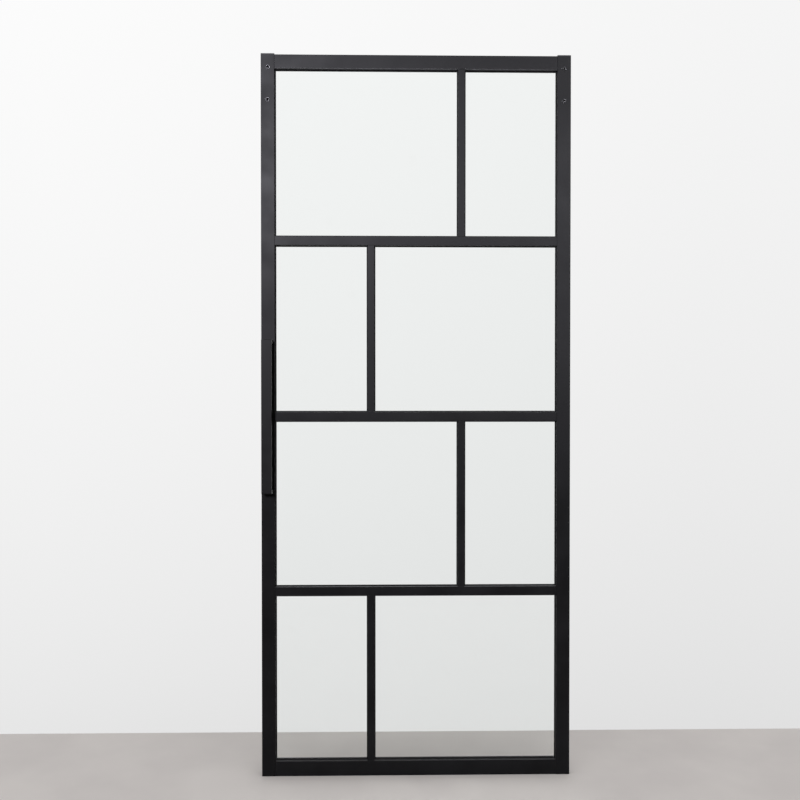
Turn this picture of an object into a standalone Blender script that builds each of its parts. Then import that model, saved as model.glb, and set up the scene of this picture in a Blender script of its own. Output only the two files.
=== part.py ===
"""Sliding glass barn door leaf: a hollow aluminium frame, eight gasketed panes and a pull handle.

The front of the leaf faces -Y and it stands up along +Z. The origin is on the front face of the
left stile, midway between the two threaded inserts that take the left strap hanger.
"""

import math

import bmesh
import bpy
from mathutils import Matrix, Vector
from mathutils.geometry import tessellate_polygon

# Leaf, in metres
DOOR_WIDTH = 0.914
DOOR_HEIGHT = 2.134
DOOR_DEPTH = 0.030

# Widths of the frame members as seen from the front
STILE_WIDTH = 0.040
TOP_RAIL_HEIGHT = 0.040
BOTTOM_RAIL_HEIGHT = 0.044
CROSS_RAIL_HEIGHT = 0.027
MUNTIN_WIDTH = 0.020

# Layout of the panes, with the rows named from the top down, and the smaller share of the glass in sight
ROW_NAMES = ("top", "upper", "lower", "bottom")
CROSS_RAIL_NAMES = ("upper", "middle", "lower")
SMALL_SIGHT_SHARE = 1 / 3

# Extruded section of the frame members
WALL = 0.0016
CORNER_RADIUS = 0.0008
LIP_RADIUS = 0.0004
GROOVE_DEPTH = 0.006
CLEARANCE = 0.0003

# Glazing
GLASS_THICKNESS = 0.005
GLASS_ARRIS = 0.0005
GASKET_SIDE = 0.0015
GASKET_WEB = 0.0010
GASKET_PROUD = 0.003
GASKET_TIP = 0.0007

# End caps of the stiles
CAP_THICKNESS = 0.003
CAP_EDGE = 0.0008
PLUG_LENGTH = 0.016
PLUG_LOOSENESS = 0.0005

# Pull handle, bent from flat bar
HANDLE_LENGTH = 0.450
HANDLE_WIDTH = 0.030
HANDLE_PROJECTION = 0.040
HANDLE_BAR = 0.010
HANDLE_EDGE = 0.0010
HANDLE_BEND_RADIUS = 0.0025

# Machine screws that hold the handle from behind
SCREW_RADIUS = 0.0030
SCREW_TIP = 0.0006
SCREW_ENGAGEMENT = 0.014
SCREW_HEAD_RADIUS = 0.0055
SCREW_HEAD_HEIGHT = 0.0030
SOCKET_RADIUS = 0.0023
SOCKET_DEPTH = 0.0018
SCREW_HOLE_PLAY = 0.0003

# Countersunk screws that hold the rails between the stiles
FRAME_SCREW_RADIUS = 0.0025
FRAME_SCREW_HEAD_RADIUS = 0.0050

# Threaded inserts for the strap hangers
HANGER_DROP = 0.040
HANGER_SPACING = 0.095
INSERT_BORE_RADIUS = 0.0034
INSERT_BODY_RADIUS = 0.0050
INSERT_FLANGE_RADIUS = 0.0066
INSERT_FLANGE_THICKNESS = 0.0012
INSERT_FLANGE_EDGE = 0.0004
INSERT_SEAT_DEPTH = 0.0004
INSERT_BULGE_RADIUS = 0.0066
INSERT_BULGE_LENGTH = 0.0040
INSERT_LENGTH = 0.0160

ROUND_SEGMENTS = 32
CUT_OVERRUN = 0.001
SHARP_ANGLE = math.radians(35)

# Finishes as colour, roughness and metallic
POWDER_COAT = ((0.020, 0.020, 0.022), 0.42, 0.0)
CLEAR_GLASS = ((0.80, 0.90, 0.86), 0.03, 0.0)
BLACK_RUBBER = ((0.010, 0.010, 0.010), 0.80, 0.0)
BLACK_PLASTIC = ((0.016, 0.016, 0.017), 0.50, 0.0)
BLACK_ZINC = ((0.060, 0.060, 0.065), 0.35, 0.9)

# Sizes that follow from the driving dimensions
FRAME_HEIGHT = DOOR_HEIGHT - CAP_THICKNESS - CLEARANCE
MID_DEPTH = DOOR_DEPTH / 2
CLEAR_WIDTH = DOOR_WIDTH - 2 * STILE_WIDTH
CROSS_RAILS_HEIGHT = len(CROSS_RAIL_NAMES) * CROSS_RAIL_HEIGHT
ROW_HEIGHT = (FRAME_HEIGHT - TOP_RAIL_HEIGHT - BOTTOM_RAIL_HEIGHT - CROSS_RAILS_HEIGHT) / len(ROW_NAMES)
ROW_PITCH = ROW_HEIGHT + CROSS_RAIL_HEIGHT
LIPS_WIDTH = 2 * GASKET_PROUD
SMALL_OPENING_WIDTH = (CLEAR_WIDTH - MUNTIN_WIDTH - 2 * LIPS_WIDTH) * SMALL_SIGHT_SHARE + LIPS_WIDTH
LARGE_OPENING_WIDTH = CLEAR_WIDTH - MUNTIN_WIDTH - SMALL_OPENING_WIDTH
GROOVE_WIDTH = GLASS_THICKNESS + 2 * (GASKET_SIDE + 2 * CLEARANCE)
PANE_BITE = GROOVE_DEPTH - GASKET_WEB - 2 * CLEARANCE
STILE_CENTRE = (DOOR_WIDTH - STILE_WIDTH) / 2
HANGER_HEIGHT = DOOR_HEIGHT - HANGER_DROP - HANGER_SPACING / 2
HANDLE_FOOT = BOTTOM_RAIL_HEIGHT + 2 * ROW_HEIGHT + 1.5 * CROSS_RAIL_HEIGHT - HANDLE_LENGTH / 2


def clear_scene():
    """Removes every object that the scene starts with."""
    for old in list(bpy.data.objects):
        bpy.data.objects.remove(old, do_unlink=True)


def coat(obj, finish):
    """Gives the object a Principled material of its own."""
    colour, roughness, metallic = finish
    material = bpy.data.materials.new(obj.name)
    material.use_nodes = True
    material.diffuse_color = (*colour, 1.0)
    shader = material.node_tree.nodes["Principled BSDF"]
    shader.inputs["Base Color"].default_value = (*colour, 1.0)
    shader.inputs["Roughness"].default_value = roughness
    shader.inputs["Metallic"].default_value = metallic
    shader.inputs["Transmission Weight"].default_value = 1.0 if finish is CLEAR_GLASS else 0.0
    obj.data.materials.append(material)


def make_object(name, shape, finish, leaf, place):
    """Turns a bmesh into a named, coated sub-part of the leaf."""
    bmesh.ops.recalc_face_normals(shape, faces=shape.faces)
    mesh = bpy.data.meshes.new(name)
    shape.to_mesh(mesh)
    shape.free()
    mesh.shade_smooth()
    mesh.set_sharp_from_angle(angle=SHARP_ANGLE)
    obj = bpy.data.objects.new(name, mesh)
    bpy.context.scene.collection.objects.link(obj)
    coat(obj, finish)
    obj.parent = leaf
    obj.matrix_local = place
    return obj


def rounded(corners, steps=3):
    """Outline through (x, y, radius) corners, with an arc at each corner that has a radius."""
    points = []
    for i, (x, y, radius) in enumerate(corners):
        here = Vector((x, y))
        if radius <= 0:
            points.append(here)
            continue
        before = (Vector(corners[i - 1][:2]) - here).normalized()
        after = (Vector(corners[(i + 1) % len(corners)][:2]) - here).normalized()
        reach = radius / math.tan(before.angle(after) / 2)
        centre = here + (before + after).normalized() * math.hypot(radius, reach)
        spoke = here + before * reach - centre
        turn = spoke.angle_signed(here + after * reach - centre)
        points += [centre + Matrix.Rotation(-turn * k / steps, 2) @ spoke for k in range(steps + 1)]
    return points


def rounded_rectangle(left, front, right, back, radius):
    """Outline of a rectangle with four equal arcs."""
    corners = ((left, front), (right, front), (right, back), (left, back))
    return rounded([(x, y, radius) for x, y in corners])


def walls_between(shape, low, high):
    """Faces from one closed ring of vertices to the next."""
    for i, vert in enumerate(low):
        j = (i + 1) % len(low)
        corners = list(dict.fromkeys((vert, low[j], high[j], high[i])))
        if len(corners) > 2:
            shape.faces.new(corners)


def stack(levels):
    """Bmesh of a solid through (z, outline) levels whose outlines have the same number of points."""
    shape = bmesh.new()
    rings = [[shape.verts.new((p.x, p.y, z)) for p in outline] for z, outline in levels]
    for low, high in zip(rings, rings[1:]):
        walls_between(shape, low, high)
    shape.faces.new(rings[0])
    shape.faces.new(rings[-1])
    return shape


def hollow_bar(outline, cavity, levels):
    """Bmesh of an extruded section, along its local Z, with a cavity open at both ends.

    The levels are the heights of its two ends and of any edge ring between them.
    """
    shape = bmesh.new()
    loops = (outline, cavity)
    rings = [[[shape.verts.new((p.x, p.y, z)) for p in loop] for loop in loops] for z in levels]
    for lower, upper in zip(rings, rings[1:]):
        for low, high in zip(lower, upper):
            walls_between(shape, low, high)
    triangles = tessellate_polygon([[p.to_3d() for p in loop] for loop in loops])
    for outer, inner in (rings[0], rings[-1]):
        corners = outer + inner
        for triangle in triangles:
            shape.faces.new([corners[k] for k in triangle])
    return shape


def member_section(width, low_groove, high_groove):
    """Outline and cavity of a frame member with a glazing groove in one edge or in both.

    Local X runs across the member's face, from 0 to width, and local Y from its front to its back.
    """
    def loop(inset, radius, lip):
        near, far, front, back = inset, width - inset, inset, DOOR_DEPTH - inset
        reach = GROOVE_WIDTH / 2 + inset
        floor = GROOVE_DEPTH + inset
        corners = [(near, front, radius), (far, front, radius)]
        if high_groove:
            corners += [(far, MID_DEPTH - reach, lip), (width - floor, MID_DEPTH - reach, 0)]
            corners += [(width - floor, MID_DEPTH + reach, 0), (far, MID_DEPTH + reach, lip)]
        corners += [(far, back, radius), (near, back, radius)]
        if low_groove:
            corners += [(near, MID_DEPTH + reach, lip), (floor, MID_DEPTH + reach, 0)]
            corners += [(floor, MID_DEPTH - reach, 0), (near, MID_DEPTH - reach, lip)]
        return rounded(corners)

    return loop(0, CORNER_RADIUS, LIP_RADIUS), loop(WALL, 0, 0)


def upright(name, leaf, width, x, levels, low_groove=True, high_groove=True):
    """Frame member that stands up, with its left edge at x."""
    shape = hollow_bar(*member_section(width, low_groove, high_groove), levels)
    return make_object(name, shape, POWDER_COAT, leaf, Matrix.Translation((x, 0, 0)))


def rail(name, stiles, height, top, low_groove=True, high_groove=True):
    """Frame member between the stiles, with its upper edge at top, and the holes for its screws in them."""
    length = CLEAR_WIDTH - 2 * CLEARANCE
    shape = hollow_bar(*member_section(height, low_groove, high_groove), (0, length))
    place = Matrix.Translation((-length / 2, 0, top)) @ Matrix.Rotation(math.pi / 2, 4, "Y")
    make_object(name, shape, POWDER_COAT, stiles[0].parent, place)
    hole, sink = FRAME_SCREW_RADIUS + SCREW_HOLE_PLAY, FRAME_SCREW_HEAD_RADIUS + SCREW_HOLE_PLAY
    end = STILE_WIDTH - GROOVE_DEPTH + CUT_OVERRUN
    profile = [(0, -CUT_OVERRUN), (sink + CUT_OVERRUN, -CUT_OVERRUN), (hole, sink - hole)]
    profile += [(hole, end), (0, end)]
    for stile, side in zip(stiles, (-1, 1)):
        outer_edge = Matrix.Translation((side * DOOR_WIDTH / 2, MID_DEPTH, top - height / 2))
        cut(stile, f"{name}_screw_hole", profile, outer_edge @ Matrix.Rotation(side * math.pi / 2, 4, "Z"))


def pane(name, leaf, x, z, width):
    """Sheet of glass in the opening whose lower left corner is at x and z."""
    shape = bmesh.new()
    bmesh.ops.create_cube(shape, size=1)
    size = (width + 2 * PANE_BITE, GLASS_THICKNESS, ROW_HEIGHT + 2 * PANE_BITE)
    bmesh.ops.scale(shape, vec=size, verts=shape.verts)
    bmesh.ops.bevel(shape, geom=shape.edges[:], offset=GLASS_ARRIS, segments=1, affect="EDGES")
    place = Matrix.Translation((x + width / 2, MID_DEPTH, z + ROW_HEIGHT / 2))
    return make_object(name, shape, CLEAR_GLASS, leaf, place)


def gasket(name, leaf, x, z, width):
    """Rubber channel round a pane: its web lies behind the glass's edge, and its lips show."""
    inner = GLASS_THICKNESS / 2 + CLEARANCE
    outer = inner + GASKET_SIDE
    outside = CLEARANCE - GROOVE_DEPTH
    web = outside + GASKET_WEB
    half = [(outside, outer), (0, outer), (GASKET_PROUD, inner + GASKET_TIP), (GASKET_PROUD, inner)]
    half.append((web, inner))
    section = half + [(inward, -depth) for inward, depth in reversed(half)]
    shape = bmesh.new()
    rings = []
    for inward, depth in section:
        left, right, low, high = inward, width - inward, inward, ROW_HEIGHT - inward
        square = ((left, low), (right, low), (right, high), (left, high))
        rings.append([shape.verts.new((across, depth, up)) for across, up in square])
    for ring, following in zip(rings, rings[1:] + rings[:1]):
        walls_between(shape, ring, following)
    return make_object(name, shape, BLACK_RUBBER, leaf, Matrix.Translation((x, MID_DEPTH, z)))


def turned(profile, segments=ROUND_SEGMENTS):
    """Bmesh of a closed profile of (radius, depth) points turned about the Y axis."""
    shape = bmesh.new()
    angles = [2 * math.pi * (k + 0.5) / segments for k in range(segments)]
    spokes = [Vector((math.cos(angle), 0, math.sin(angle))) for angle in angles]
    rings = []
    for radius, depth in profile:
        axis = Vector((0, depth, 0))
        if radius == 0:
            rings.append([shape.verts.new(axis)] * segments)
        else:
            rings.append([shape.verts.new(axis + radius * spoke) for spoke in spokes])
    for ring, following in zip(rings, rings[1:] + rings[:1]):
        walls_between(shape, ring, following)
    return shape


def cut(target, name, profile, place, segments=ROUND_SEGMENTS):
    """Puts the turned profile, at its place in the leaf, among the holes that are cut out of the target."""
    cutter = make_object(name, turned(profile, segments), BLACK_ZINC, target.parent, place)
    cutter.hide_render = True
    cutter.display_type = "WIRE"
    if "holes" not in target.modifiers:
        holes = target.modifiers.new("holes", "BOOLEAN")
        holes.operation = "DIFFERENCE"
        holes.solver = "EXACT"
        holes.operand_type = "COLLECTION"
        holes.collection = bpy.data.collections.new(f"{target.name}_holes")
    target.modifiers["holes"].collection.objects.link(cutter)


def bore(target, name, radius, x, z, front, back, segments=ROUND_SEGMENTS):
    """Cuts a round or hexagonal hole along Y, from front to back, in the target."""
    profile = [(0, front), (radius, front), (radius, back), (0, back)]
    cut(target, name, profile, Matrix.Translation((x, 0, z)), segments)


def stile_cavity(left, groove_on_right, radius, inset):
    """Outline of a plug in the part of a stile's cavity that lies beside its groove."""
    plain, grooved = WALL + inset, GROOVE_DEPTH + WALL + inset
    near, far = (plain, grooved) if groove_on_right else (grooved, plain)
    right, back = left + STILE_WIDTH - far, DOOR_DEPTH - WALL - inset
    return rounded_rectangle(left + near, WALL + inset, right, back, radius)


def stile_ends(side, leaf, left, groove_on_right):
    """Cap over the top of a stile, with its plug, and the flush plug in the stile's foot."""
    base = DOOR_HEIGHT - CAP_THICKNESS

    def plate(inset):
        right, back = left + STILE_WIDTH - inset, DOOR_DEPTH - inset
        return rounded_rectangle(left + inset, inset, right, back, CORNER_RADIUS)

    def plug(inset):
        return stile_cavity(left, groove_on_right, CAP_EDGE, PLUG_LOOSENESS + inset)

    levels = [(base - PLUG_LENGTH, plug(CAP_EDGE)), (base - PLUG_LENGTH + CAP_EDGE, plug(0)), (base, plug(0))]
    levels += [(base, plate(0)), (DOOR_HEIGHT - CAP_EDGE, plate(0)), (DOOR_HEIGHT, plate(CAP_EDGE))]
    make_object(f"{side}_stile_cap", stack(levels), BLACK_PLASTIC, leaf, Matrix())
    levels = [(0, plug(0)), (PLUG_LENGTH - CAP_EDGE, plug(0)), (PLUG_LENGTH, plug(CAP_EDGE))]
    make_object(f"{side}_stile_foot_plug", stack(levels), BLACK_PLASTIC, leaf, Matrix())


def hanger_insert(name, stile, x, z):
    """Threaded insert in the front wall of a stile: its flange in a shallow milled seat, its bulge inside."""
    under_flange = INSERT_SEAT_DEPTH - CLEARANCE
    front = under_flange - INSERT_FLANGE_THICKNESS
    behind = WALL + CLEARANCE
    profile = [
        (INSERT_BORE_RADIUS, front),
        (INSERT_FLANGE_RADIUS - INSERT_FLANGE_EDGE, front),
        (INSERT_FLANGE_RADIUS, front + INSERT_FLANGE_EDGE),
        (INSERT_FLANGE_RADIUS, under_flange),
        (INSERT_BODY_RADIUS, under_flange),
        (INSERT_BODY_RADIUS, behind),
        (INSERT_BULGE_RADIUS, behind + INSERT_BULGE_LENGTH / 4),
        (INSERT_BULGE_RADIUS, behind + INSERT_BULGE_LENGTH / 2),
        (INSERT_BODY_RADIUS, behind + INSERT_BULGE_LENGTH),
        (INSERT_BODY_RADIUS, INSERT_LENGTH),
        (INSERT_BORE_RADIUS, INSERT_LENGTH),
    ]
    make_object(name, turned(profile), BLACK_ZINC, stile.parent, Matrix.Translation((x, 0, z)))
    hole, seat, end = INSERT_BODY_RADIUS + CLEARANCE, INSERT_FLANGE_RADIUS + CLEARANCE, WALL + CUT_OVERRUN
    profile = [(0, -CUT_OVERRUN), (seat, -CUT_OVERRUN), (seat, INSERT_SEAT_DEPTH), (hole, INSERT_SEAT_DEPTH)]
    profile += [(hole, end), (0, end)]
    cut(stile, f"{name}_hole", profile, Matrix.Translation((x, 0, z)))


def handle_screw(name, stile, handle, x, z):
    """Button-head screw from the back of the stile, through both its walls, into a leg of the handle."""
    seat = DOOR_DEPTH + CLEARANCE
    crown = seat + SCREW_HEAD_HEIGHT
    tip = -CLEARANCE - SCREW_ENGAGEMENT
    dome = [math.pi / 2 * k / 4 for k in range(4)]
    flat = SOCKET_RADIUS + 2 * CLEARANCE
    chamfered_tip = [(0, tip), (SCREW_RADIUS - SCREW_TIP, tip), (SCREW_RADIUS, tip + SCREW_TIP)]
    profile = [*chamfered_tip, (SCREW_RADIUS, seat)]
    for angle in dome:
        radius = flat + (SCREW_HEAD_RADIUS - flat) * math.cos(angle)
        profile.append((radius, seat + SCREW_HEAD_HEIGHT * math.sin(angle)))
    profile += [(flat, crown), (0, crown)]
    screw = make_object(name, turned(profile), BLACK_ZINC, stile.parent, Matrix.Translation((x, 0, z)))
    bore(screw, f"{name}_socket", SOCKET_RADIUS, x, z, crown - SOCKET_DEPTH, crown + CUT_OVERRUN, segments=6)
    hole_radius = SCREW_RADIUS + SCREW_HOLE_PLAY
    bore(stile, f"{name}_clearance_hole", hole_radius, x, z, -CUT_OVERRUN, DOOR_DEPTH + CUT_OVERRUN)
    bore(handle, f"{name}_thread_hole", hole_radius, x, z, tip - CLEARANCE, CUT_OVERRUN)


def pull_handle(leaf, stile, x):
    """U-shaped handle of flat bar on the front of a stile, with a screw in each leg."""
    inside = HANDLE_PROJECTION - HANDLE_BAR
    inner_radius = HANDLE_BEND_RADIUS / 2
    outline = rounded([
        (0, 0, 0),
        (HANDLE_PROJECTION, 0, HANDLE_BEND_RADIUS),
        (HANDLE_PROJECTION, HANDLE_LENGTH, HANDLE_BEND_RADIUS),
        (0, HANDLE_LENGTH, 0),
        (0, HANDLE_LENGTH - HANDLE_BAR, 0),
        (inside, HANDLE_LENGTH - HANDLE_BAR, inner_radius),
        (inside, HANDLE_BAR, inner_radius),
        (0, HANDLE_BAR, 0),
    ])
    shape = stack([(0, outline), (HANDLE_WIDTH, outline)])
    upside = Matrix(((0, 0, -1, 0), (-1, 0, 0, 0), (0, 1, 0, 0), (0, 0, 0, 1)))
    place = Matrix.Translation((x + HANDLE_WIDTH / 2, -CLEARANCE, HANDLE_FOOT)) @ upside
    handle = make_object("pull_handle", shape, POWDER_COAT, leaf, place)
    edge = handle.modifiers.new("eased_edges", "BEVEL")
    edge.width = HANDLE_EDGE
    edge.segments = 2
    edge.limit_method = "ANGLE"
    edge.angle_limit = SHARP_ANGLE
    for end, rise in (("lower", HANDLE_BAR / 2), ("upper", HANDLE_LENGTH - HANDLE_BAR / 2)):
        handle_screw(f"handle_screw_{end}", stile, handle, x, HANDLE_FOOT + rise)


def glaze(leaf, row, z):
    """The muntin, two panes and two gaskets of one row. The muntin changes side from row to row."""
    name = ROW_NAMES[row]
    left = -CLEAR_WIDTH / 2
    first, second = LARGE_OPENING_WIDTH, SMALL_OPENING_WIDTH
    if row % 2:
        first, second = second, first
    upright(f"{name}_muntin", leaf, MUNTIN_WIDTH, left + first, (z + CLEARANCE, z + ROW_HEIGHT - CLEARANCE))
    for side, x, width in (("left", left, first), ("right", left + first + MUNTIN_WIDTH, second)):
        pane(f"{name}_{side}_pane", leaf, x, z, width)
        gasket(f"{name}_{side}_gasket", leaf, x, z, width)


def main():
    clear_scene()
    leaf = bpy.data.objects.new("leaf", None)
    bpy.context.scene.collection.objects.link(leaf)
    leaf.location = (STILE_CENTRE, 0, -HANGER_HEIGHT)

    stiles = []
    row_middles = [BOTTOM_RAIL_HEIGHT + ROW_HEIGHT / 2 + k * ROW_PITCH for k in range(len(ROW_NAMES))]
    levels = (0, *row_middles, FRAME_HEIGHT)
    for side, sign in (("left", -1), ("right", 1)):
        edge = sign * STILE_CENTRE - STILE_WIDTH / 2
        on_right = sign < 0
        stile = upright(f"{side}_stile", leaf, STILE_WIDTH, edge, levels, not on_right, on_right)
        stiles.append(stile)
        stile_ends(side, leaf, edge, on_right)
        for end, offset in (("upper", HANGER_SPACING / 2), ("lower", -HANGER_SPACING / 2)):
            hanger_insert(f"{side}_hanger_insert_{end}", stile, sign * STILE_CENTRE, HANGER_HEIGHT + offset)
        if side == "left":
            pull_handle(leaf, stile, sign * STILE_CENTRE)

    rail("top_rail", stiles, TOP_RAIL_HEIGHT, FRAME_HEIGHT, low_groove=False)
    top = FRAME_HEIGHT - TOP_RAIL_HEIGHT
    for row in range(len(ROW_NAMES)):
        glaze(leaf, row, top - ROW_HEIGHT)
        top -= ROW_HEIGHT
        if row < len(CROSS_RAIL_NAMES):
            rail(f"{CROSS_RAIL_NAMES[row]}_cross_rail", stiles, CROSS_RAIL_HEIGHT, top)
            top -= CROSS_RAIL_HEIGHT
    rail("bottom_rail", stiles, BOTTOM_RAIL_HEIGHT, top, high_groove=False)


main()
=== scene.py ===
"""Dressed scene of a sliding glass barn door leaf.

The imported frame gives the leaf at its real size. This script coats the frame members and the handle,
lays the glazing gaskets round the panes in mitred lengths, cuts the threads of the hanger inserts, sets
the screws that hold the rails between the stiles, and stands the leaf in a plain pale studio.
The front of the leaf faces -Y and it stands up along +Z. All sizes are in metres.
"""

import logging
import math
from collections.abc import Callable, Iterable, Iterator
from contextlib import contextmanager
from dataclasses import dataclass, replace
from enum import Enum
from typing import Any

import bmesh
import bpy
from mathutils import Euler, Matrix, Vector


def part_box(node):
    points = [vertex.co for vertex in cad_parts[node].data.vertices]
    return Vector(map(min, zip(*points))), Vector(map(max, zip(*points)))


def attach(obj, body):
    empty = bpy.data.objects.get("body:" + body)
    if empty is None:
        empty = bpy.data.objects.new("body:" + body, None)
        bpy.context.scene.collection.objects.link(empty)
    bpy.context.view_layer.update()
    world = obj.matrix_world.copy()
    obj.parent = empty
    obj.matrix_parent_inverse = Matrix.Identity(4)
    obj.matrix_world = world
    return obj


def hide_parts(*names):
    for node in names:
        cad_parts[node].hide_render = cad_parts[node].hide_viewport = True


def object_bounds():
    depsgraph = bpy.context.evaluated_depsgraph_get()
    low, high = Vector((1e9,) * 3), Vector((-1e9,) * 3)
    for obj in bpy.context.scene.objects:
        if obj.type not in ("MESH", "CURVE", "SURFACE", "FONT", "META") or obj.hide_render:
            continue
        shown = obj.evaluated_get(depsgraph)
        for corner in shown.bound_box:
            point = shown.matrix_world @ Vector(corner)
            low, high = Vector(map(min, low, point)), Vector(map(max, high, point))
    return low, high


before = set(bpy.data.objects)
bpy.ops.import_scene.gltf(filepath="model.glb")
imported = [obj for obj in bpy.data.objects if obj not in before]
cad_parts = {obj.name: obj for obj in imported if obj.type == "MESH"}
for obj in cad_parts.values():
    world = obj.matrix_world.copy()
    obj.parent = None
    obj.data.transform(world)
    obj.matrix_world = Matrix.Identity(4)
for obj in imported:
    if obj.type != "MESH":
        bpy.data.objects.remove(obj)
cad_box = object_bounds()

log = logging.getLogger("barn_door")

Colour = tuple[float, float, float]
Range = tuple[float, float]
Sockets = dict[str | int, Any]

BODY = "root"
FULL_TURN = 2 * math.pi
QUARTER_TURN = math.pi / 2

# Share of a face's normal along an axis from which the face counts as pointing that way.
FACING = 0.9
# Distance within which two places are the same.
NEAR = 1e-6
# Edges that turn by more stay sharp, on members and on small turned pieces.
SHARP = math.radians(40)
SHARP_ON_TURNED = math.radians(35)
# Each copy of an insert or a screw is turned by this angle more, as no two are tightened alike.
TIGHTENED = 1.0


class Slot(Enum):
    """Names of the material slots, which the finishes carry."""

    COATED_ALUMINIUM = "powder_coated_aluminium"
    COATED_STEEL = "powder_coated_steel"
    GLASS = "clear_glass"
    RUBBER = "glazing_rubber"
    PLASTIC = "black_plastic"
    ZINC = "black_zinc_steel"


class Side(Enum):
    """The two sides of the leaf as seen from the front, with the way out along X."""

    LEFT = -1
    RIGHT = 1

    @property
    def word(self) -> str:
        """The side's name as the nodes write it."""
        return self.name.lower()


class NodeWeb:
    """A shader node tree under construction, with short ways to add and join nodes."""

    def __init__(self, tree: bpy.types.NodeTree) -> None:
        """Starts on an existing tree.

        Args:
            tree: The node tree that takes the nodes.
        """
        self.tree = tree

    def add(self, kind: str, inputs: Sockets | None = None, **settings: Any) -> bpy.types.Node:
        """Adds a node, and sets or joins its inputs.

        Args:
            kind: The node's type.
            inputs: Input names or numbers, each with a plain value or the output that feeds it.
            **settings: The node's own properties.

        Returns:
            The new node.
        """
        node = self.tree.nodes.new(kind)
        for key, value in settings.items():
            setattr(node, key, value)
        for key, value in (inputs or {}).items():
            if isinstance(value, bpy.types.NodeSocket):
                self.tree.links.new(value, node.inputs[key])
            else:
                node.inputs[key].default_value = value
        return node

    def maths(self, operation: str, first: Any, second: Any = 0.0) -> bpy.types.NodeSocket:
        """Adds a Math node.

        Args:
            operation: Its operation.
            first: Its first value or the output that feeds it.
            second: Its second value or the output that feeds it.

        Returns:
            The node's output.
        """
        return self.add("ShaderNodeMath", {0: first, 1: second}, operation=operation).outputs[0]

    def spread(self, value: Any, source: Range, target: Range = (0.0, 1.0)) -> bpy.types.NodeSocket:
        """Maps one range onto another, and clamps the value there.

        Args:
            value: The output that is mapped.
            source: Start and end of its range.
            target: What they become.

        Returns:
            The mapped value's output.
        """
        low, high = source
        to_low, to_high = target
        ranges = {"Value": value, "From Min": low, "From Max": high, "To Min": to_low, "To Max": to_high}
        return self.add("ShaderNodeMapRange", ranges).outputs["Result"]

    def noise(self, position: Any, size: Any, detail: float) -> bpy.types.NodeSocket:
        """Adds a noise.

        Args:
            position: The output that gives the place on the piece.
            size: Size of its blotches in metres, or the output that feeds it.
            detail: How many finer noises lie over it.

        Returns:
            The noise's output, which lies round 0.5.
        """
        scale = self.maths("DIVIDE", 1.0, size)
        settings = {"Vector": position, "Scale": scale, "Detail": detail}
        return self.add("ShaderNodeTexNoise", settings).outputs["Fac"]

    def blend(self, factor: Any, first: Any, second: Any) -> bpy.types.NodeSocket:
        """Mixes two colours.

        Args:
            factor: Share of the second colour.
            first: First colour, or the output that feeds it.
            second: Second colour, or the output that feeds it.

        Returns:
            The mixed colour's output.
        """
        # By number, as this node has sockets of the same name for numbers, vectors and colours.
        pair = {0: factor, 6: opaque(first), 7: opaque(second)}
        return self.add("ShaderNodeMix", pair, data_type="RGBA").outputs[2]


def opaque(colour: Any) -> Any:
    """A colour with its alpha, or the output itself where one feeds the colour."""
    return colour if isinstance(colour, bpy.types.NodeSocket) else (*colour, 1.0)


class Effect:
    """A surface effect that several finishes share, kept as one node group with named sockets."""

    title = ""
    inputs: tuple[tuple[str, str, float], ...] = ()
    outputs: tuple[str, ...] = ()

    @classmethod
    def place(cls, web: NodeWeb, inputs: Sockets) -> bpy.types.Node:
        """Puts the effect into a material.

        Args:
            web: The material's tree.
            inputs: Values or outputs for the group's inputs.

        Returns:
            The group node.
        """
        tree = bpy.data.node_groups.get(cls.title) or cls._build()
        return web.add("ShaderNodeGroup", inputs, node_tree=tree)

    @classmethod
    def _build(cls) -> bpy.types.NodeTree:
        """Makes the group, its sockets and what joins them, and returns it."""
        tree = bpy.data.node_groups.new(cls.title, "ShaderNodeTree")
        for name, kind, value in cls.inputs:
            socket = tree.interface.new_socket(name, in_out="INPUT", socket_type=kind)
            if kind == "NodeSocketFloat":
                socket.default_value = value
        for name in cls.outputs:
            tree.interface.new_socket(name, in_out="OUTPUT", socket_type="NodeSocketFloat")
        web = NodeWeb(tree)
        web.add("NodeGroupOutput", cls.wire(web, web.add("NodeGroupInput").outputs))
        return tree

    @classmethod
    def wire(cls, web: NodeWeb, given: Any) -> Sockets:
        """Lays the nodes between the group's inputs and outputs.

        Args:
            web: The group's tree.
            given: The outputs of its input node.

        Returns:
            What feeds each output.
        """
        raise NotImplementedError


class Grain(Effect):
    """Fine texture of a coat or a moulding, and the slow drift of its tone from place to place."""

    title = "grain"
    inputs = (
        ("Position", "NodeSocketVector", 0.0),
        ("Grain Size", "NodeSocketFloat", 0.001),
        ("Patch Size", "NodeSocketFloat", 0.1),
    )
    outputs = ("Height", "Patches")
    grain_detail = 2.0
    patch_detail = 3.0

    @classmethod
    def wire(cls, web: NodeWeb, given: Any) -> Sockets:
        """Two noises, a fine one and a coarse one. See Effect.wire."""
        return {
            "Height": web.noise(given["Position"], given["Grain Size"], cls.grain_detail),
            "Patches": web.noise(given["Position"], given["Patch Size"], cls.patch_detail),
        }


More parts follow.
